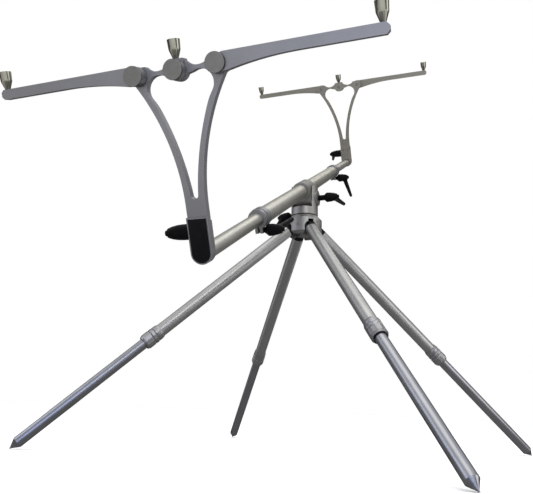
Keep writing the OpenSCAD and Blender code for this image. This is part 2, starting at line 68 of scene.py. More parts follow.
# Hub, its screws and the black ring of painted shade above it, in millimetres and degrees
HUB_R = 37.5
LEG_TURN = 35.9
HUB_SCREW_R = 2.6
HUB_SCREW_H = 0.9
HUB_SCREW_Z = 468.3
HUB_SCREW_TURN = 24
SHADE_RING_IN_R = 26.2
SHADE_RING_OUT_R = 28.5
SHADE_RING_LOW = 485.2
SHADE_RING_HIGH = 486.9
SHADE_RING_EDGE_R = 0.2
SHADE_RING_EDGE_Z = 0.3
SHADE_RING_SIDES = 96

# Grooves of a leg's lock in millimetres: how far past the nut's top end, half as wide, and how deep
LOCK_GROOVES = ((0.0, 1.4, 0.8), (8.0, 1.6, 1.0))
# The points that a groove moves lie outside this radius and this close to its middle
LOCK_RIM_R = 13.2
LOCK_NEAR = 0.5

# Serrated ring on the head's right cheek, in millimetres and degrees
TILT_RING_R = 16.0
TILT_RING_X = (28.4, 30.6)
TILT_TEETH = 40
TILT_TOOTH = 1.3
TILT_TOOTH_TURN = 45

# Buzz bars in millimetres from the middle of their hinge line: the cups' mouths and their threads
HALF_ARM_T = 6.0
ARM_CUP_X = 250.0
ARM_CUP_Z = 35.3
CENTRE_CUP_Y = 0.5
CENTRE_CUP_Z = 36.9
INCH = 25.4
THREADS_PER_INCH = 26
THREAD_R = 4.76
THREAD_LEN = 11.0
THREAD_SUNK = 0.1
THREAD_START = 0.4
THREAD_RIDGE = 0.4
THREAD_STEPS = 20
RIDGE_SIDES = 4

# Grub screws behind each socket and in the right side of each centre pad, in the same millimetres
GRUB_R = 1.5
GRUB_H = 0.5
SOCKET_BACK = 10.6
SOCKET_GRUB_X = 6.5
SOCKET_GRUB_Z = -193.4
SOCKET_GRUB_SUNK = 1.0
PAD_HALF = 10.3
PAD_GRUB_Y = -2.5
PAD_GRUB_Z = 8.5
PAD_GRUB_SUNK = 0.3

# Shape of a small socket screw: millimetres below its head and into its key, and shares of its size
SCREW_SIDES = 24
SCREW_FOOT = 0.6
KEY_FLATS = 6
KEY_DEPTH = 0.9
KEY_SHARE = 0.42
RIM_SHARE = 0.52
CROWN_SHARE = 0.8
DOMED_SHOULDER = 0.45
FLAT_SHOULDER = 0.75


def linear(hex_colour):
    """An sRGB hex colour as the linear RGBA that shaders take."""
    channels = [int(hex_colour[i:i + 2], 16) / 255 for i in (1, 3, 5)]
    return [c / 12.92 if c <= 0.04045 else ((c + 0.055) / 1.055) ** 2.4 for c in channels] + [1.0]


def add(tree, kind, values=None, links=None, **settings):
    """Adds one node to a tree, sets its settings and input values, and links its inputs."""
    made = tree.nodes.new(kind)
    for name, value in settings.items():
        setattr(made, name, value)
    for name, value in (values or {}).items():
        made.inputs[name].default_value = value
    for name, socket in (links or {}).items():
        tree.links.new(socket, made.inputs[name])
    return made


# Stock frames: where a piece was held when it was made, z along its bar, tube or spindle


def axis_of(joint):
    return Vector(joints[joint]["axis"]).normalized()


def place_of(joint):
    return Vector(joints[joint]["pos_m"])


def stock_frame(place, along, across):
    """A right-handed frame at a place, its z along one direction and its x close to another."""
    z = along.normalized()
    x = (across - z * across.dot(z)).normalized()
    made = Matrix((x, z.cross(x), z)).transposed().to_4x4()
    made.translation = place
    return made


def box_middle(node):
    low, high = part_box(node)
    return (low + high) / 2


# Which way along the pod's y each end looks out
OUTWARD = {"front": -1, "rear": 1}

pod_frame = Matrix.Identity(4)
bar_frame = stock_frame(box_middle("main_tube"), axis_of("rear_reach_slide"), ACROSS)
leg_frames = {}
for leg in (1, 2, 3, 4):
    leg_frames[leg] = stock_frame(place_of(f"leg_{leg}_fold"), axis_of(f"leg_{leg}_extend"), UP)
buzz_frames = {}
for end, sense in OUTWARD.items():
    face_way = axis_of(f"{end}_right_arm_fold") * sense
    middle = (place_of(f"{end}_left_arm_fold") + place_of(f"{end}_right_arm_fold")) / 2
    rise = axis_of(f"{end}_buzz_bar_lift")
    buzz_frames[end] = stock_frame(middle - face_way * HALF_ARM_T / 1000, rise, ACROSS)


def outward_sense(end):
    """1 where the y of an end's stock frame points out of the pod, and -1 where it points in."""
    return 1 if buzz_frames[end].col[1].y * OUTWARD[end] > 0 else -1


def frame_of(node):
    """The stock frame of a CAD node, from its name."""
    if node.startswith("leg_") and node != "leg_pins":
        return leg_frames[int(node[4])]
    if node.endswith("_lever"):
        joint = node + "_turn"
        return stock_frame(place_of(joint), axis_of(joint), UP)
    if node in ("main_tube", "tilt_block") or "inner_tube" in node or node.endswith("_clamp"):
        return bar_frame
    for end, made in buzz_frames.items():
        if node.startswith(end):
            return made
    return pod_frame


def give_grain(mesh, stock):
    """Keeps each point's place in the stock frame, in millimetres, for the marks that making leaves."""
    inverse = stock.inverted()
    grain = mesh.attributes.new("grain", "FLOAT_VECTOR", "POINT")
    for vertex, item in zip(mesh.vertices, grain.data):
        item.vector = (inverse @ vertex.co) * 1000


# Materials, each named for what it is and how its surface was made


def new_finish(name):
    """A material with its shader, and the grain coordinates that its patterns read."""
    made = bpy.data.materials.new(name)
    made.use_nodes = True
    tree = made.node_tree
    tree.nodes.clear()
    shader = add(tree, "ShaderNodeBsdfPrincipled")
    add(tree, "ShaderNodeOutputMaterial", links={"Surface": shader.outputs[0]})
    grain = add(tree, "ShaderNodeAttribute", attribute_name="grain")
    return made, tree, shader, grain.outputs["Vector"]


# Scales of the marks across x, y and z of the stock frame: long where the scale is small
ALONG = (1.0, 1.0, 0.015)
ROUND = (0.03, 0.03, 1.0)
EVEN = (1.0, 1.0, 1.0)

# Share of the blotch beside the marks, where the noise turns dark and light, roughness swing, metres deep
BLOTCH_SHARE = 0.45
METAL_STOPS = (0.34, 0.66)
METAL_SWING = 0.05
MARK_DEPTH = 0.00003


def worked_metal(name, light, dark, edge, roughness, marks, streak_mm, blotch_mm, bump):
    """Metal with the marks of drawing, turning or blasting, a faint blotch and a soft sheen.

    The marks are streak_mm wide. They are drawn coarser than the real ones of about a tenth of a
    millimetre, which this picture can't show."""
    made, tree, shader, grain = new_finish(name)
    shader.inputs["Metallic"].default_value = 1.0
    shader.inputs["Specular Tint"].default_value = linear(edge)
    laid = add(tree, "ShaderNodeMapping", {"Scale": marks}, {"Vector": grain})
    streak = add(tree, "ShaderNodeTexNoise", {"Scale": 1 / streak_mm, "Detail": 3.0, "Roughness": 0.6},
                 {"Vector": laid.outputs[0]})
    blotch = add(tree, "ShaderNodeTexNoise", {"Scale": 1 / blotch_mm, "Detail": 4.0}, {"Vector": grain})
    both = add(tree, "ShaderNodeMix", {"Factor": BLOTCH_SHARE},
               {"A": streak.outputs[0], "B": blotch.outputs[0]}, data_type="FLOAT")
    tone = add(tree, "ShaderNodeValToRGB", links={"Fac": both.outputs[0]})
    for stop, position, colour in zip(tone.color_ramp.elements, METAL_STOPS, (dark, light)):
        stop.position = position
        stop.color = linear(colour)
    tree.links.new(tone.outputs[0], shader.inputs["Base Color"])
    rough = add(tree, "ShaderNodeMapRange",
                {"To Min": roughness - METAL_SWING, "To Max": roughness + METAL_SWING},
                {"Value": both.outputs[0]})
    tree.links.new(rough.outputs[0], shader.inputs["Roughness"])
    raised = add(tree, "ShaderNodeBump", {"Strength": bump, "Distance": MARK_DEPTH},
                 {"Height": streak.outputs[0]})
    tree.links.new(raised.outputs[0], shader.inputs["Normal"])
    return made


# Champagne anodised drawn tube: fine lines along the bar, warm silver, soft wide highlight
bar_tube_finish = worked_metal("champagne_anodised_drawn_tube", light="#cbcac5", dark="#bab9b4",
                               edge="#8d8c87", roughness=0.38, marks=ALONG, streak_mm=0.8, blotch_mm=40,
                               bump=0.08)
# Silver anodised drawn tube: as the bar's but a cooler grey
leg_tube_finish = worked_metal("silver_anodised_drawn_tube", light="#b9b9b8", dark="#a9a9a8", edge="#8c8b89",
                               roughness=0.38, marks=ALONG, streak_mm=0.8, blotch_mm=40, bump=0.08)
# Bright anodised drawn tube: smoother, so the lower legs show a crisper, bluish highlight
lower_leg_finish = worked_metal("bright_anodised_drawn_tube", light="#a9aaaf", dark="#999a9f", edge="#828286",
                                roughness=0.3, marks=ALONG, streak_mm=0.8, blotch_mm=40, bump=0.06)
# Turned and anodised aluminium: rings left by the lathe, on collars, nuts and clamps
turned_finish = worked_metal("anodised_turned_aluminium", light="#afafb0", dark="#9d9d9f", edge="#868688",
                             roughness=0.4, marks=ROUND, streak_mm=0.6, blotch_mm=25, bump=0.12)
# Cast, machined and anodised aluminium: even and softly dull, on the hub, head and tilt block
casting_finish = worked_metal("anodised_machined_casting", light="#acaba8", dark="#999895", edge="#848380",
                              roughness=0.48, marks=EVEN, streak_mm=1.2, blotch_mm=20, bump=0.12)
# Bead blasted and anodised aluminium: dull, even grey; its slightly blue cast is painted cool light from the
# front
front_plate_finish = worked_metal("bead_blasted_anodised_plate", light="#a4a4a7", dark="#98989b",
                                  edge="#88888a", roughness=0.5, marks=EVEN, streak_mm=0.7, blotch_mm=35,
                                  bump=0.15)
# The same blasted finish on the rear buzz bar, tinted warmer: painted warm light from the right and rear
rear_plate_finish = worked_metal("bead_blasted_anodised_plate_painted_warm_light", light="#a8a498", dark="#99958a",
                                 edge="#868276", roughness=0.5, marks=EVEN, streak_mm=0.7, blotch_mm=35,
                                 bump=0.15)
# Faced alloy of the hinge discs: a fine even texture, darker than the arms
disc_finish = worked_metal("faced_alloy_disc", light="#8f8e8b", dark="#7f7e7c", edge="#747371",
                           roughness=0.42, marks=EVEN, streak_mm=0.9, blotch_mm=9, bump=0.2)
# Ground steel of the pins: bright, with fine rings
pin_finish = worked_metal("ground_steel_pin", light="#b0aea9", dark="#96948f", edge="#8a8880",
                          roughness=0.28, marks=ROUND, streak_mm=0.5, blotch_mm=15, bump=0.2)
# Turned steel of the spikes: bright, a little scuffed from the ground
spike_finish = worked_metal("turned_steel_spike", light="#b2b2b8", dark="#8f8f94", edge="#808086",
                            roughness=0.32, marks=ROUND, streak_mm=0.7, blotch_mm=6, bump=0.4)
# Nickel plated brass of the cups: faintly yellow, and so smooth that it shows hard light and dark bands. Its
# colour is far darker than bright nickel: painted dark reflection of the surroundings
cup_finish = worked_metal("nickel_plated_turned_brass", light="#9c9b90", dark="#8a897f", edge="#8c8a80",
                          roughness=0.1, marks=ROUND, streak_mm=0.6, blotch_mm=20, bump=0.04)

# Refraction of nylon, blooms to a millimetre, where they turn dark and light, roughness swing, metres deep
NYLON_IOR = 1.53
BLOOM_PER_MM = 0.12
BLOOM_STOPS = (0.35, 0.7)
BLOOM_SWING = 0.07
PEBBLE_DEPTH = 0.0001


def black_surface(name, light, dark, roughness, gloss, grain_mm, bump):
    """Black plastic, film or coating: a pebbled grain that breaks up the gloss, and a faint dusty bloom."""
    made, tree, shader, grain = new_finish(name)
    shader.inputs["IOR"].default_value = NYLON_IOR
    shader.inputs["Specular IOR Level"].default_value = gloss
    pebble = add(tree, "ShaderNodeTexVoronoi", {"Scale": 1 / grain_mm, "Randomness": 1.0}, {"Vector": grain})
    bloom = add(tree, "ShaderNodeTexNoise", {"Scale": BLOOM_PER_MM, "Detail": 5.0}, {"Vector": grain})
    tone = add(tree, "ShaderNodeValToRGB", links={"Fac": bloom.outputs[0]})
    for stop, position, colour in zip(tone.color_ramp.elements, BLOOM_STOPS, (dark, light)):
        stop.position = position
        stop.color = linear(colour)
    tree.links.new(tone.outputs[0], shader.inputs["Base Color"])
    rough = add(tree, "ShaderNodeMapRange",
                {"To Min": roughness - BLOOM_SWING, "To Max": roughness + BLOOM_SWING},
                {"Value": bloom.outputs[0]})
    tree.links.new(rough.outputs[0], shader.inputs["Roughness"])
    raised = add(tree, "ShaderNodeBump", {"Strength": bump, "Distance": PEBBLE_DEPTH},
                 {"Height": pebble.outputs["Distance"]})
    tree.links.new(raised.outputs[0], shader.inputs["Normal"])
    return made


# Moulded nylon: matt black with a fine grain, drawn at 0.9 mm because 0.2 mm would not show
lever_finish = black_surface("moulded_black_nylon", light="#0a0a0b", dark="#050506", roughness=0.46,
                             gloss=0.06, grain_mm=0.9, bump=0.25)
# Glass filled nylon: a drier, greyer black, also laid on the black ring of painted shade between head and hub
tongue_and_shade_ring_finish = black_surface("glass_filled_black_nylon_and_painted_shade", light="#111113", dark="#0a0a0b", roughness=0.56,
                              gloss=0.15, grain_mm=0.7, bump=0.3)
# Blank gloss label: smooth black film with a slight ripple
label_finish = black_surface("gloss_black_label_film", light="#0a0a0c", dark="#060608", roughness=0.16,
                             gloss=0.2, grain_mm=6.0, bump=0.06)
# Blackened steel of the grub screws: black with a dull shine
grub_finish = black_surface("blackened_steel_screw", light="#141416", dark="#0b0b0d", roughness=0.4,
                            gloss=0.3, grain_mm=0.5, bump=0.2)

# Words in a node's name, its finish and the width of its broken edges in millimetres: the first that fits
FINISHES = (
    ("leg_pins", pin_finish, 0.2),
    ("tilt_pin", pin_finish, 0.3),
    ("_tongue", tongue_and_shade_ring_finish, 0.6),
    ("_upper_tube", leg_tube_finish, 0.3),
    ("_lower_tube", lower_leg_finish, 0.3),
    ("_lock_collar", turned_finish, 0.5),
    ("_lock_nut", turned_finish, 0.5),
    ("_spike", spike_finish, 0.25),
    ("hub", casting_finish, 0.7),
    ("head_fork", casting_finish, 0.9),
    ("tilt_block", casting_finish, 1.2),
    ("_clamp", turned_finish, 0.5),
    ("main_tube", bar_tube_finish, 0.3),
    ("_inner_tube", bar_tube_finish, 0.3),
    ("_badge", label_finish, 0.3),
    ("_bolts", disc_finish, 0.5),
    ("_cup", cup_finish, 0.35),
    ("front_", front_plate_finish, 1.0),
    ("rear_", rear_plate_finish, 1.0),
)

# How the solids are dressed, in metres and degrees
SAME_POINT = 2e-6
CUT_POINT = 1e-6
FLAT_ANGLE = 0.4
EDGE_ANGLE = 28
EDGE_STEPS = 2
FLAT_WEIGHT = 100
LEVER_VOXEL = 0.0006
LEVER_SOFTENING = 0.5
LEVER_PASSES = 5


def merged_copy(node):
    """A CAD node's mesh with its triangles joined and its flat faces made whole."""
    mesh = frame["nodes"][node].data.copy()
    shell = bmesh.new()
    shell.from_mesh(mesh)
    bmesh.ops.remove_doubles(shell, verts=shell.verts, dist=SAME_POINT)
    bmesh.ops.dissolve_limit(shell, angle_limit=math.radians(FLAT_ANGLE), verts=shell.verts,
                             edges=shell.edges)
    for face in shell.faces:
        face.smooth = True
    shell.to_mesh(mesh)
    shell.free()
    mesh.materials.clear()
    return mesh


def new_object(name, data):
    made = bpy.data.objects.new(name, data)
    bpy.context.scene.collection.objects.link(made)
    return made


def evaluated(obj):
    """What an object's modifiers make, as a plain mesh. The object itself is removed."""
    bpy.context.view_layer.update()
    graph = bpy.context.evaluated_depsgraph_get()
    mesh = bpy.data.meshes.new_from_object(obj.evaluated_get(graph), preserve_all_data_layers=True,
                                           depsgraph=graph)
    bpy.data.objects.remove(obj)
    return mesh


def fit_piece(name, mesh, finish, body, stock):
    """Makes a finished mesh a piece of the pod that moves with one body."""
    mesh.materials.clear()
    mesh.materials.append(finish)
    give_grain(mesh, stock)
    piece = new_object(name, mesh)
    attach(piece, body)
    return piece


def body_of(node):
    return frame["nodes"][node]["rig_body"]


def dress_node(node, name, mesh, finish):
    """Puts a finished mesh in the place of a CAD node."""
    piece = fit_piece(name, mesh, finish, body_of(node), frame_of(node))
    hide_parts(node)


def turn_grooves(mesh, node):
    """Turns the grooves of a leg's lock into the mesh of its collar or its nut."""
    stock = frame_of(node)
    to_stock = stock.inverted()
    nut = frame["nodes"][f"leg_{node[4]}_lock_nut"].data
    depths = [(to_stock @ vertex.co).z for vertex in nut.vertices]
    top = min(depths, key=abs)
    sense = 1 if max(depths, key=abs) > top else -1
    shell = bmesh.new()
    shell.from_mesh(mesh)
    shell.transform(to_stock)
    for past, half, deep in LOCK_GROOVES:
        middle = top + sense * past / 1000
        for z in (middle - half / 1000, middle, middle + half / 1000):
            everything = shell.verts[:] + shell.edges[:] + shell.faces[:]
            bmesh.ops.bisect_plane(shell, geom=everything, dist=CUT_POINT, plane_co=(0, 0, z), plane_no=UP)
        for vertex in shell.verts:
            radius = vertex.co.xy.length
            if abs(vertex.co.z - middle) < LOCK_NEAR / 1000 and radius > LOCK_RIM_R / 1000:
                vertex.co.xy *= 1 - deep / 1000 / radius
    shell.transform(stock)
    shell.to_mesh(mesh)
    shell.free()


def machined_piece(node, finish, edge_mm):
    """A metal or hard plastic piece with the broken edges that catch the light."""
    mesh = merged_copy(node)
    if "_lock_" in node:
        turn_grooves(mesh, node)
    work = new_object(node + "_work", mesh)
    edge = work.modifiers.new("edge_break", "BEVEL")
    edge.width = edge_mm / 1000
    edge.segments = EDGE_STEPS
    edge.limit_method = "ANGLE"
    edge.angle_limit = math.radians(EDGE_ANGLE)
    shade = work.modifiers.new("even_shade", "WEIGHTED_NORMAL")
    shade.mode = "FACE_AREA"
    shade.weight = FLAT_WEIGHT
    dress_node(node, node + "_finished", evaluated(work), finish)


def moulded_lever(node):
    """A clamping lever with the soft blends of a moulding where its arm leaves the hub."""
    work = new_object(node + "_work", merged_copy(node))
    skin = work.modifiers.new("skin", "REMESH")
    skin.mode = "VOXEL"
    skin.voxel_size = LEVER_VOXEL
    soft = work.modifiers.new("blend", "SMOOTH")
    soft.factor = LEVER_SOFTENING
    soft.iterations = LEVER_PASSES
    mesh = evaluated(work)
    for face in mesh.polygons:
        face.use_smooth = True
    dress_node(node, node + "_moulding", mesh, lever_finish)


for node in sorted(frame["nodes"]):
    if node.endswith("_lever"):
        moulded_lever(node)
        continue
    for words, finish, edge_mm in FINISHES:
        if words in node:
            machined_piece(node, finish, edge_mm)
            break


# Shells of small turned parts: rings of points joined by faces


def point_ring(shell, radius, z, sides, flats=0):
    """Adds a ring of points to a shell, round or with flats, and gives them in order. Millimetres."""
    points = []
    for i in range(sides):
        turn = 2 * math.pi * i / sides
        reach = radius
        if flats:
            half_flat = math.pi / flats
            reach = radius / math.cos(turn % (2 * half_flat) - half_flat)
        x = reach * math.cos(turn)
        y = reach * math.sin(turn)
        points.append(shell.verts.new((x / 1000, y / 1000, z / 1000)))
    return points


def join_rings(shell, rings):
    """Joins each ring of points to the next one with faces."""
    for lower, upper in zip(rings, rings[1:]):
        for i in range(len(lower)):
            after = (i + 1) % len(lower)
            shell.faces.new((lower[i], lower[after], upper[after], upper[i]))


def shell_mesh(shell, name):
    """Ends a shell as a mesh whose faces point outwards."""
    bmesh.ops.recalc_face_normals(shell, faces=shell.faces)
    mesh = bpy.data.meshes.new(name)
    shell.to_mesh(mesh)
    shell.free()
    return mesh


def pan_washer():
    """A thin black ring between the head and the hub: painted shade, the dark line of the seam's shadow laid
    on as a part.
    """
    shell = bmesh.new()
    outline = (
        (SHADE_RING_IN_R, SHADE_RING_LOW),
        (SHADE_RING_OUT_R - SHADE_RING_EDGE_R, SHADE_RING_LOW),
        (SHADE_RING_OUT_R, SHADE_RING_LOW + SHADE_RING_EDGE_Z),
        (SHADE_RING_OUT_R, SHADE_RING_HIGH - SHADE_RING_EDGE_Z),
        (SHADE_RING_OUT_R - SHADE_RING_EDGE_R, SHADE_RING_HIGH),
        (SHADE_RING_IN_R, SHADE_RING_HIGH),
    )
    rings = [point_ring(shell, radius, z, SHADE_RING_SIDES) for radius, z in outline]
    join_rings(shell, rings + rings[:1])
    mesh = shell_mesh(shell, "pan_washer")
    fit_piece("pan_washer", mesh, tongue_and_shade_ring_finish, "head", pod_frame)


pan_washer()


# Small repeated parts, made with geometry nodes


def new_tree(name, sockets):
    """An empty geometry tree with named inputs for its sizes and finish, and its two end nodes."""
    tree = bpy.data.node_groups.new(name, "GeometryNodeTree")
    tree.interface.new_socket("Geometry", in_out="INPUT", socket_type="NodeSocketGeometry")
    for socket, kind in sockets.items():
        tree.interface.new_socket(socket, in_out="INPUT", socket_type=kind)
    tree.interface.new_socket("Finish", in_out="INPUT", socket_type="NodeSocketMaterial")
    tree.interface.new_socket("Geometry", in_out="OUTPUT", socket_type="NodeSocketGeometry")
    return tree, add(tree, "NodeGroupInput"), add(tree, "NodeGroupOutput")


def close_tree(tree, geometry, given, ends):
    """Ends a tree in real geometry with its material."""
    real = add(tree, "GeometryNodeRealizeInstances", links={0: geometry})
    dressed = add(tree, "GeometryNodeSetMaterial",
                  links={"Geometry": real.outputs[0], "Material": given.outputs["Finish"]})
    tree.links.new(dressed.outputs[0], ends.inputs[0])


def grown(name, mesh, tree, values):
    """Runs a tree on a mesh and gives the result as a plain mesh."""
    work = new_object(name + "_work", mesh)
    grower = work.modifiers.new("grower", "NODES")
    grower.node_group = tree
    for item in tree.interface.items_tree:
        if item.in_out == "INPUT" and item.name in values:
            grower[item.identifier] = values[item.name]
    return evaluated(work)


def cup_thread_tree():
    """Thread of a rod cup: one ridge wound down the bore."""
    sizes = {name: "NodeSocketFloat" for name in ("Turns", "Radius", "Length", "Ridge")}
    tree, given, ends = new_tree("cup_thread", sizes)
    wind = add(tree, "GeometryNodeCurveSpiral", {"Resolution": THREAD_STEPS},
               {"Rotations": given.outputs["Turns"], "Start Radius": given.outputs["Radius"],
                "End Radius": given.outputs["Radius"], "Height": given.outputs["Length"]})
    ridge = add(tree, "GeometryNodeCurvePrimitiveCircle", {"Resolution": RIDGE_SIDES},
                {"Radius": given.outputs["Ridge"]})
    wound = add(tree, "GeometryNodeCurveToMesh", {"Fill Caps": True},
                {"Curve": wind.outputs[0], "Profile Curve": ridge.outputs[0]})
    close_tree(tree, wound.outputs[0], given, ends)
    return tree


def tilt_teeth_tree():
    """Serrations round the tilt ring: small ridges set side by side on a circle."""
    sizes = {"Count": "NodeSocketInt", "Radius": "NodeSocketFloat", "Tooth": "NodeSocketVector"}
    tree, given, ends = new_tree("tilt_ring_teeth", sizes)
    ring = add(tree, "GeometryNodeMeshCircle",
               links={"Vertices": given.outputs["Count"], "Radius": given.outputs["Radius"]})
    radial = add(tree, "GeometryNodeInputPosition")
    turned = add(tree, "FunctionNodeAlignRotationToVector", links={"Vector": radial.outputs[0]}, axis="X")
    tooth = add(tree, "GeometryNodeMeshCube", links={"Size": given.outputs["Tooth"]})
    tipped = add(tree, "GeometryNodeTransform", {"Rotation": (0, 0, math.radians(TILT_TOOTH_TURN))},
                 {"Geometry": tooth.outputs[0]})
    set_round = add(tree, "GeometryNodeInstanceOnPoints",
                    links={"Points": ring.outputs[0], "Instance": tipped.outputs[0],
                           "Rotation": turned.outputs[0]})
    close_tree(tree, set_round.outputs[0], given, ends)
    return tree


def screws_tree():
    """One screw template set on each marked point, its head turned along the point's own direction."""
    tree, given, ends = new_tree("set_screws", {"Screw": "NodeSocketObject"})
    template = add(tree, "GeometryNodeObjectInfo", links={"Object": given.outputs["Screw"]})
    facing = add(tree, "GeometryNodeInputNamedAttribute", {"Name": "facing"}, data_type="FLOAT_VECTOR")
    turned = add(tree, "FunctionNodeAlignRotationToVector", links={"Vector": facing.outputs[0]}, axis="Z")
    set_in = add(tree, "GeometryNodeInstanceOnPoints",
                 links={"Points": given.outputs[0], "Instance": template.outputs["Geometry"],
                        "Rotation": turned.outputs[0]})
    close_tree(tree, set_in.outputs[0], given, ends)
    return tree


# Threads of the six cups
thread_tree = cup_thread_tree()
thread_sizes = {
    "Turns": THREAD_LEN / INCH * THREADS_PER_INCH,
    "Radius": (THREAD_R - THREAD_SUNK) / 1000,
    "Length": THREAD_LEN / 1000,
    "Ridge": THREAD_RIDGE / 1000,
    "Finish": cup_finish,
}
cup_mouths = {
    "left": (-ARM_CUP_X, HALF_ARM_T, ARM_CUP_Z),
    "right": (ARM_CUP_X, HALF_ARM_T, ARM_CUP_Z),
    "centre": (0, CENTRE_CUP_Y, CENTRE_CUP_Z),
}
for end, stock in buzz_frames.items():
    sense = outward_sense(end)
    for side, (x, y, z) in cup_mouths.items():
        cup = f"{end}_{side}_cup"
        name = f"{cup}_thread"
        mesh = grown(name, bpy.data.meshes.new(name), thread_tree, thread_sizes)
        foot = Vector((x, sense * y, z - THREAD_LEN - THREAD_START)) / 1000
        mesh.transform(stock @ Matrix.Translation(foot))
        fit_piece(name, mesh, cup_finish, body_of(cup), stock)

# Serrations of the tilt ring
ring_w = TILT_RING_X[1] - TILT_RING_X[0]
mesh = grown("tilt_ring_teeth", bpy.data.meshes.new("tilt_ring_teeth"), tilt_teeth_tree(),
             {"Count": TILT_TEETH, "Radius": TILT_RING_R / 1000,
              "Tooth": (TILT_TOOTH / 1000, TILT_TOOTH / 1000, ring_w / 1000), "Finish": casting_finish})
tilt_place = place_of("tilt_lever_turn")
tilt_place.x = (TILT_RING_X[0] + ring_w / 2) / 1000
tilt_frame = stock_frame(tilt_place, ACROSS, UP)
mesh.transform(tilt_frame)
fit_piece("tilt_ring_teeth", mesh, casting_finish, "head", tilt_frame)


def screw_template(name, radius, height, shoulder):
    """One socket screw with its head up z, its shoulder a share of that height, and a six-sided key hole."""
    shell = bmesh.new()
    outline = (
        (radius, -SCREW_FOOT),
        (radius, height * shoulder),
        (radius * CROWN_SHARE, height),
        (radius * RIM_SHARE, height),
    )
    rings = [point_ring(shell, size, z, SCREW_SIDES) for size, z in outline]
    for z in (height, height - KEY_DEPTH):
        rings.append(point_ring(shell, radius * KEY_SHARE, z, SCREW_SIDES, KEY_FLATS))
    join_rings(shell, rings)
    shell.faces.new(rings[-1])
    shell.faces.new(list(reversed(rings[0])))
    return new_object(name, shell_mesh(shell, name))


screw_tree = screws_tree()


def set_screws(name, spots, screw, finish, body, stock):
    """Sets the same screw at several spots, each a place and the direction its head faces."""
    points = bpy.data.meshes.new(name)
    points.from_pydata([place for place, _ in spots], [], [])
    marks = points.attributes.new("facing", "FLOAT_VECTOR", "POINT")
    for item, (_, direction) in zip(marks.data, spots):
        item.vector = direction
    mesh = grown(name, points, screw_tree, {"Screw": screw, "Finish": finish})
    fit_piece(name, mesh, finish, body, stock)


# Screws of the hub, the sockets and the centre pads
hub_screw = screw_template("hub_screw", HUB_SCREW_R, HUB_SCREW_H, DOMED_SHOULDER)
grub_screw = screw_template("grub_screw", GRUB_R, GRUB_H, FLAT_SHOULDER)
spots = []
for quarter in range(4):
    turn = math.radians(LEG_TURN + 90 * quarter + HUB_SCREW_TURN)
    direction = Vector((math.cos(turn), math.sin(turn), 0))
    spots.append((direction * HUB_R / 1000 + UP * HUB_SCREW_Z / 1000, direction))
set_screws("hub_screws", spots, hub_screw, pin_finish, "hub", pod_frame)
for end, stock in buzz_frames.items():
    sense = outward_sense(end)
    back = stock.to_3x3() @ Vector((0, -sense, 0))
    spots = []
    for x in (-SOCKET_GRUB_X, SOCKET_GRUB_X):
        place = Vector((x, -sense * (SOCKET_BACK - SOCKET_GRUB_SUNK), SOCKET_GRUB_Z)) / 1000
        spots.append((stock @ place, back))
    set_screws(f"{end}_socket_grubs", spots, grub_screw, grub_finish, f"{end}_reach", stock)
    place = Vector((PAD_HALF - PAD_GRUB_SUNK, sense * PAD_GRUB_Y, PAD_GRUB_Z)) / 1000
    spots = [(stock @ place, stock.to_3x3() @ ACROSS)]
    set_screws(f"{end}_pad_grub", spots, grub_screw, grub_finish, f"{end}_buzz_bar", stock)
for screw in (hub_screw, grub_screw):
    bpy.data.objects.remove(screw)


# Stage: a pale floor with a painted reflection for metal, a white studio and six soft lamps

# Floor in metres, and the strengths of the painted reflection that metal sees in it: painted shade near the
# stand, a painted bright patch in front, dark far away and dimmer on the left
FLOOR_HALF = 12
FLOOR_DROP = 0.0005
FLOOR_NEAR = 0.24
FLOOR_FRONT = 1.3
FLOOR_BEYOND = 0.15
FLOOR_LEFT = 0.62
# Where those change, in metres from the stand, and along x for the left
FRONT_REACH = (0.85, 1.65)
BEYOND_REACH = (2.4, 4.5)
LEFT_REACH = (-1.2, 0.2)


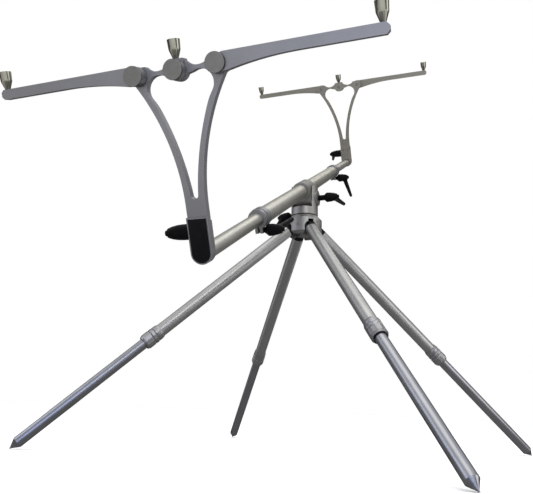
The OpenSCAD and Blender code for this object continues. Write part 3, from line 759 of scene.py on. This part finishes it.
def paper_and_painted_glow():
    """Matt white paper to the camera and to light. Glossy rays see it glow instead, a painted reflection:
    painted shade near the stand, a painted bright patch in front and dark far away.

    That gives the cups their bright and dark bands."""
    made = bpy.data.materials.new("matt_white_paper_with_painted_reflection")
    made.use_nodes = True
    tree = made.node_tree
    tree.nodes.clear()
    sheet = add(tree, "ShaderNodeBsdfDiffuse", {"Color": linear("#f6f6f6")})
    spot = add(tree, "ShaderNodeTexCoord")
    reach = add(tree, "ShaderNodeVectorMath", links={0: spot.outputs["Object"]}, operation="LENGTH")
    sides = add(tree, "ShaderNodeSeparateXYZ", links={0: spot.outputs["Object"]})
    front = add(tree, "ShaderNodeMapRange",
                {"From Min": FRONT_REACH[0], "From Max": FRONT_REACH[1],
                 "To Min": FLOOR_NEAR, "To Max": FLOOR_FRONT},
                {"Value": reach.outputs["Value"]}, interpolation_type="SMOOTHSTEP")
    lean = add(tree, "ShaderNodeMapRange",
               {"From Min": LEFT_REACH[0], "From Max": LEFT_REACH[1], "To Min": FLOOR_LEFT, "To Max": 1.0},
               {"Value": sides.outputs["X"]})
    past = add(tree, "ShaderNodeMapRange",
               {"From Min": BEYOND_REACH[0], "From Max": BEYOND_REACH[1],
                "To Min": 1.0, "To Max": FLOOR_BEYOND},
               {"Value": reach.outputs["Value"]}, interpolation_type="SMOOTHSTEP")
    leaned = add(tree, "ShaderNodeMath", links={0: front.outputs[0], 1: lean.outputs[0]},
                 operation="MULTIPLY")
    glow = add(tree, "ShaderNodeMath", links={0: leaned.outputs[0], 1: past.outputs[0]},
               operation="MULTIPLY")
    # Painted reflection: the floor glows for glossy rays only, though it is no lamp
    painted_floor_glow = add(tree, "ShaderNodeEmission", {"Color": linear("#ffffff")}, {"Strength": glow.outputs[0]})
    path = add(tree, "ShaderNodeLightPath")
    shown = add(tree, "ShaderNodeMixShader",
                links={0: path.outputs["Is Glossy Ray"], 1: sheet.outputs[0], 2: painted_floor_glow.outputs[0]})
    add(tree, "ShaderNodeOutputMaterial", links={"Surface": shown.outputs[0]})
    return made


floor_mesh = bpy.data.meshes.new("floor")
corners = [(-FLOOR_HALF, -FLOOR_HALF, 0), (FLOOR_HALF, -FLOOR_HALF, 0), (FLOOR_HALF, FLOOR_HALF, 0),
           (-FLOOR_HALF, FLOOR_HALF, 0)]
floor_mesh.from_pydata(corners, [], [(0, 1, 2, 3)])
floor_mesh.materials.append(paper_and_painted_glow())
floor = new_object("floor", floor_mesh)
floor.location.z = -FLOOR_DROP

# What metal sees of the studio: the way it is brightest, and greys from low down to there
STUDIO_WAY = (0.0, 0.1, 0.995)
STUDIO_SPAN = (-0.6, 1.0)
STUDIO_GRADE = ((0.0, 0.1), (0.375, 0.14), (0.54, 0.26), (0.69, 0.5), (0.82, 0.78), (1.0, 0.9))
STUDIO_LIGHT = 1.08


def white_studio():
    """Even white light all round, plain white to the camera. Metal sees it bright overhead and dark low down.

    That grade gives the tubes their dark edges and soft highlights."""
    made = bpy.data.worlds.new("white_studio")
    made.use_nodes = True
    sky = made.node_tree
    sky.nodes.clear()
    path = add(sky, "ShaderNodeLightPath")
    seen = add(sky, "ShaderNodeMath",
               links={0: path.outputs["Is Camera Ray"], 1: path.outputs["Is Transmission Ray"]},
               operation="MAXIMUM")
    way = add(sky, "ShaderNodeTexCoord")
    towards = add(sky, "ShaderNodeVectorMath", {1: STUDIO_WAY}, {0: way.outputs["Generated"]},
                  operation="DOT_PRODUCT")
    spread = add(sky, "ShaderNodeMapRange", {"From Min": STUDIO_SPAN[0], "From Max": STUDIO_SPAN[1]},
                 {"Value": towards.outputs["Value"]})
    grade = add(sky, "ShaderNodeValToRGB", links={"Fac": spread.outputs[0]})
    grade.color_ramp.interpolation = "EASE"
    stops = grade.color_ramp.elements
    for position, _ in STUDIO_GRADE[1:-1]:
        stops.new(position)
    for stop, (_, grey) in zip(stops, STUDIO_GRADE):
        stop.color = (grey, grey, grey, 1)
    even = add(sky, "ShaderNodeBackground", {"Color": linear("#ffffff"), "Strength": STUDIO_LIGHT})
    graded = add(sky, "ShaderNodeBackground", {"Strength": 1.0}, {"Color": grade.outputs[0]})
    white = add(sky, "ShaderNodeBackground", {"Color": linear("#ffffff"), "Strength": 1.0})
    metal_sees = add(sky, "ShaderNodeMixShader",
                     links={0: path.outputs["Is Glossy Ray"], 1: even.outputs[0], 2: graded.outputs[0]})
    mixed = add(sky, "ShaderNodeMixShader",
                links={0: seen.outputs[0], 1: metal_sees.outputs[0], 2: white.outputs[0]})
    add(sky, "ShaderNodeOutputWorld", links={"Surface": mixed.outputs[0]})
    return made


bpy.context.scene.world = white_studio()

# Lamps: place and aim in metres, width in metres, power in watts and colour
LAMPS = (
    ("key_front", (1.2, -2.15, 1.5), (0, -0.3, 0.5), 1.5, 13, "#fffef8"),
    ("back_top", (0.2, 1.9, 2.7), (0, 0, 0.5), 1.3, 13, "#ffffff"),
    ("right", (2.4, -0.3, 0.8), (0, 0, 0.5), 1.4, 9, "#ffffff"),
    ("window_left", (-2.2, -1.1, 1.5), (0, 0, 0.4), 1.6, 9, "#dfe8ff"),
    ("low_front", (0.5, -2.6, 0.6), (0, 0, 0.2), 1.5, 9, "#b4c7ff"),
    ("top", (0.1, -0.5, 3.0), (0, 0, 0.4), 2.2, 12, "#ffffff"),
)
for name, place, aim, size, power, colour in LAMPS:
    lamp = bpy.data.lights.new(name, "AREA")
    lamp.shape = "DISK"
    lamp.size = size
    lamp.energy = power
    lamp.color = linear(colour)[:3]
    hung = new_object(name, lamp)
    hung.location = place
    hung.rotation_euler = (Vector(aim) - Vector(place)).to_track_quat("-Z", "Y").to_euler()

# Camera at the photograph's place: found from the cups, hinge discs, feet, leg collars and the bar's axis
CAMERA_PLACE = (0.3095, -1.1918, 0.0842)
YAW = math.radians(-20.04)
PITCH = math.radians(15.77)
ROLL = math.radians(1.97)
FOCAL_PX = 588.9
MIDDLE_PX = (250.0, 239.9)
PICTURE = (533, 494)
SENSOR_MM = 36
NEAREST = 0.01
FARTHEST = 60

ahead = Vector((math.sin(YAW) * math.cos(PITCH), math.cos(YAW) * math.cos(PITCH), math.sin(PITCH)))
level = Vector((math.cos(YAW), -math.sin(YAW), 0))
upright = level.cross(ahead)
right = level * math.cos(ROLL) + upright * math.sin(ROLL)
over = upright * math.cos(ROLL) - level * math.sin(ROLL)
lens = bpy.data.cameras.new("photo_camera")
lens.sensor_width = SENSOR_MM
lens.lens = SENSOR_MM * FOCAL_PX / PICTURE[0]
lens.shift_x = (PICTURE[0] / 2 - MIDDLE_PX[0]) / PICTURE[0]
lens.shift_y = (MIDDLE_PX[1] - PICTURE[1] / 2) / PICTURE[0]
lens.clip_start = NEAREST
lens.clip_end = FARTHEST
camera = new_object("photo_camera", lens)
camera.matrix_world = Matrix.Translation(CAMERA_PLACE) @ Matrix((right, over, -ahead)).transposed().to_4x4()
bpy.context.scene.camera = camera
bpy.context.scene.view_settings.view_transform = "Standard"
